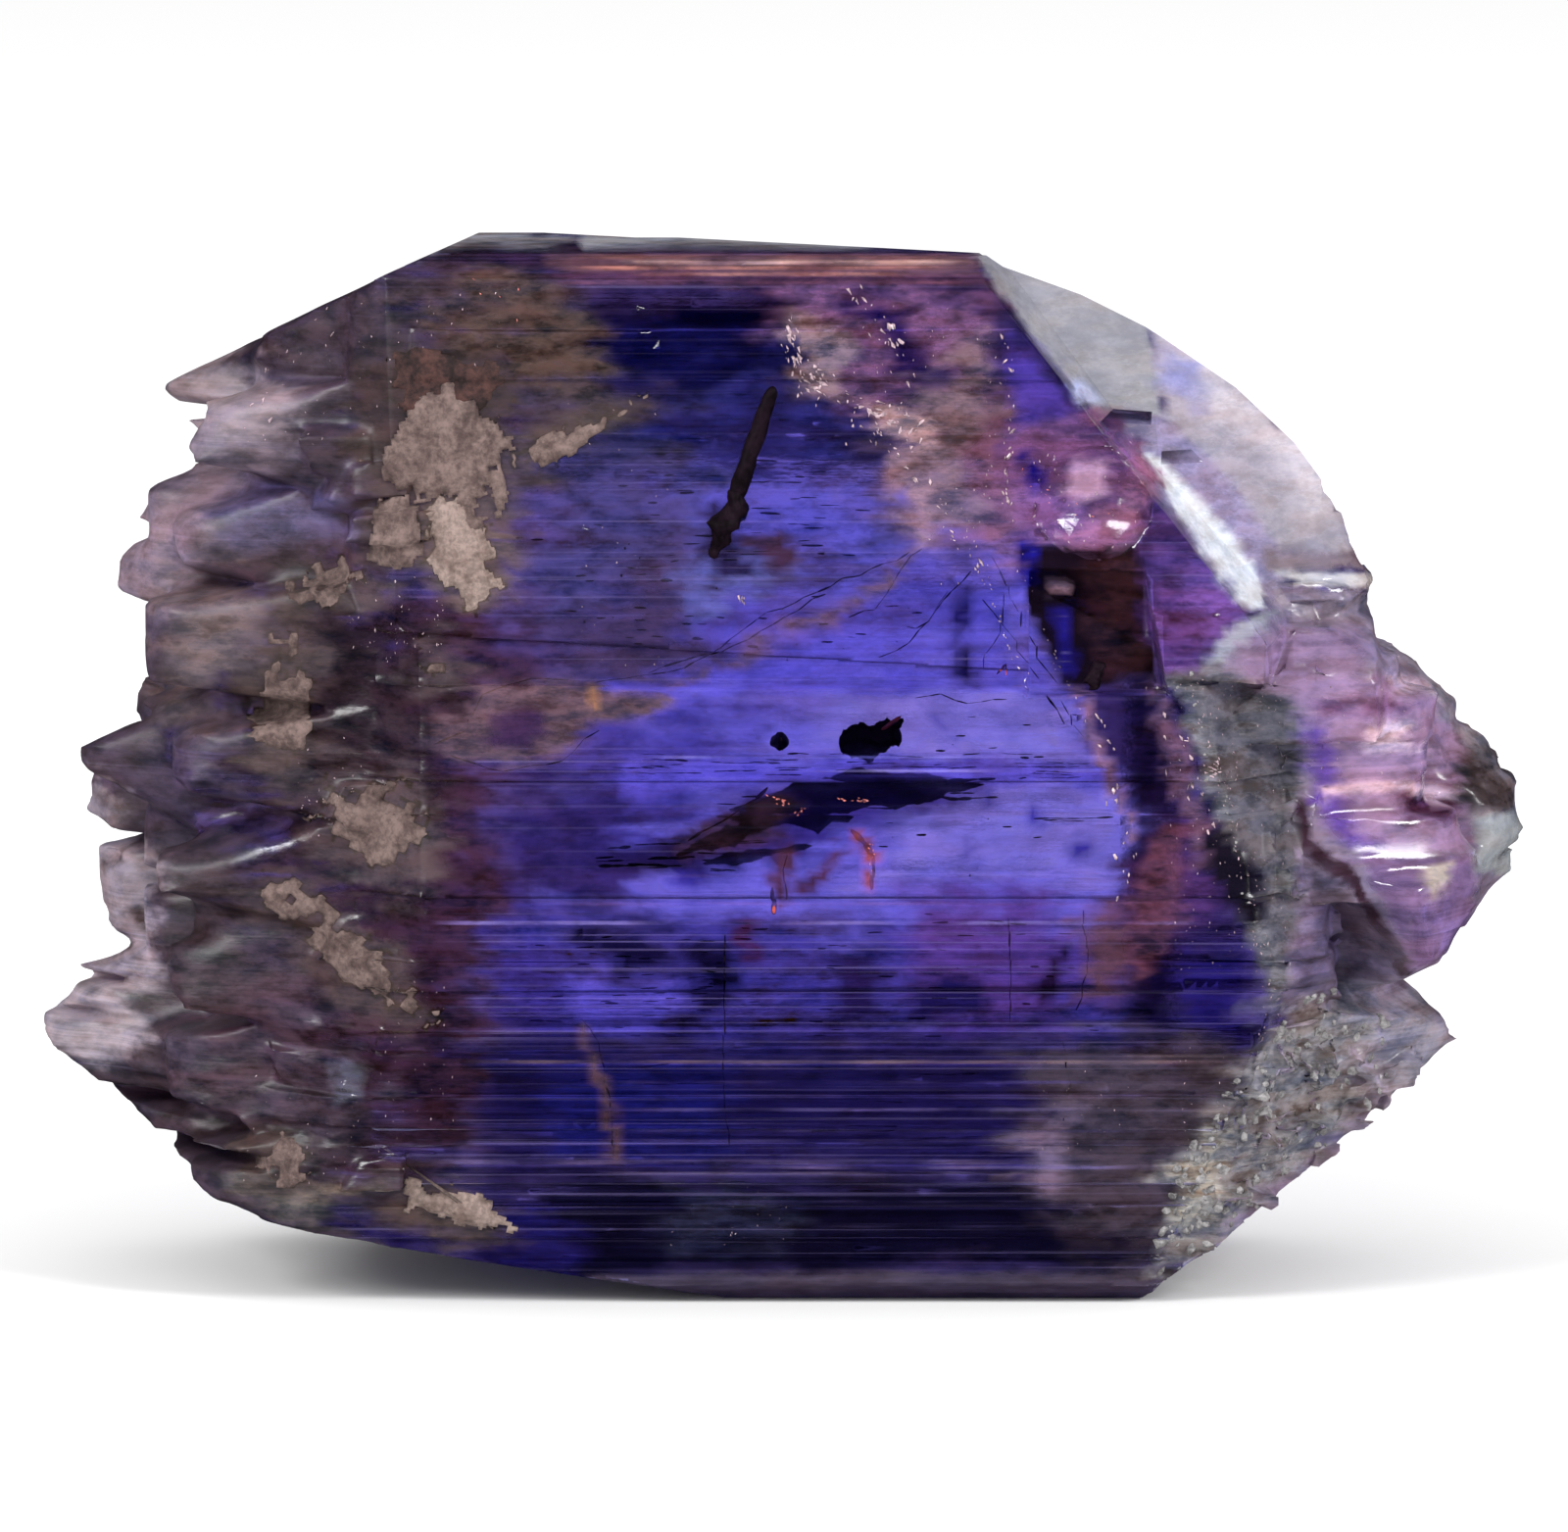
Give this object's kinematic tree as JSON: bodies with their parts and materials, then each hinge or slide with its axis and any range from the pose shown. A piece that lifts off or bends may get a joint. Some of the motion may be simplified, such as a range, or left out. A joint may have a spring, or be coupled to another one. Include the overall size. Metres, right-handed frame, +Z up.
{
  "type": "tanzanite crystal",
  "caption": "Loose natural tanzanite prism, blue-violet and see-through, with a striated broad face, an etched end and a clear wedge end, standing on a flat prism face.",
  "frame": {"origin": "on the flat prism face that the crystal stands on, under the middle of its length", "axes": "+X along the striations towards the clear wedge end, +Y away from the broad front face, +Z up"},
  "size_m": [0.024, 0.0107, 0.0165],
  "materials": {
    "tanzanite": "vitreous natural crystal, finely striated, blue-violet with pink and grey zones",
    "matrix_crust": "dull tan mineral crust in thin patches",
    "inclusions": "dark needles, tubes and healed fractures inside the crystal"
  },
  "bodies": {
    "root": {"tanzanite_crystal": "tanzanite"}
  },
  "joints": []
}
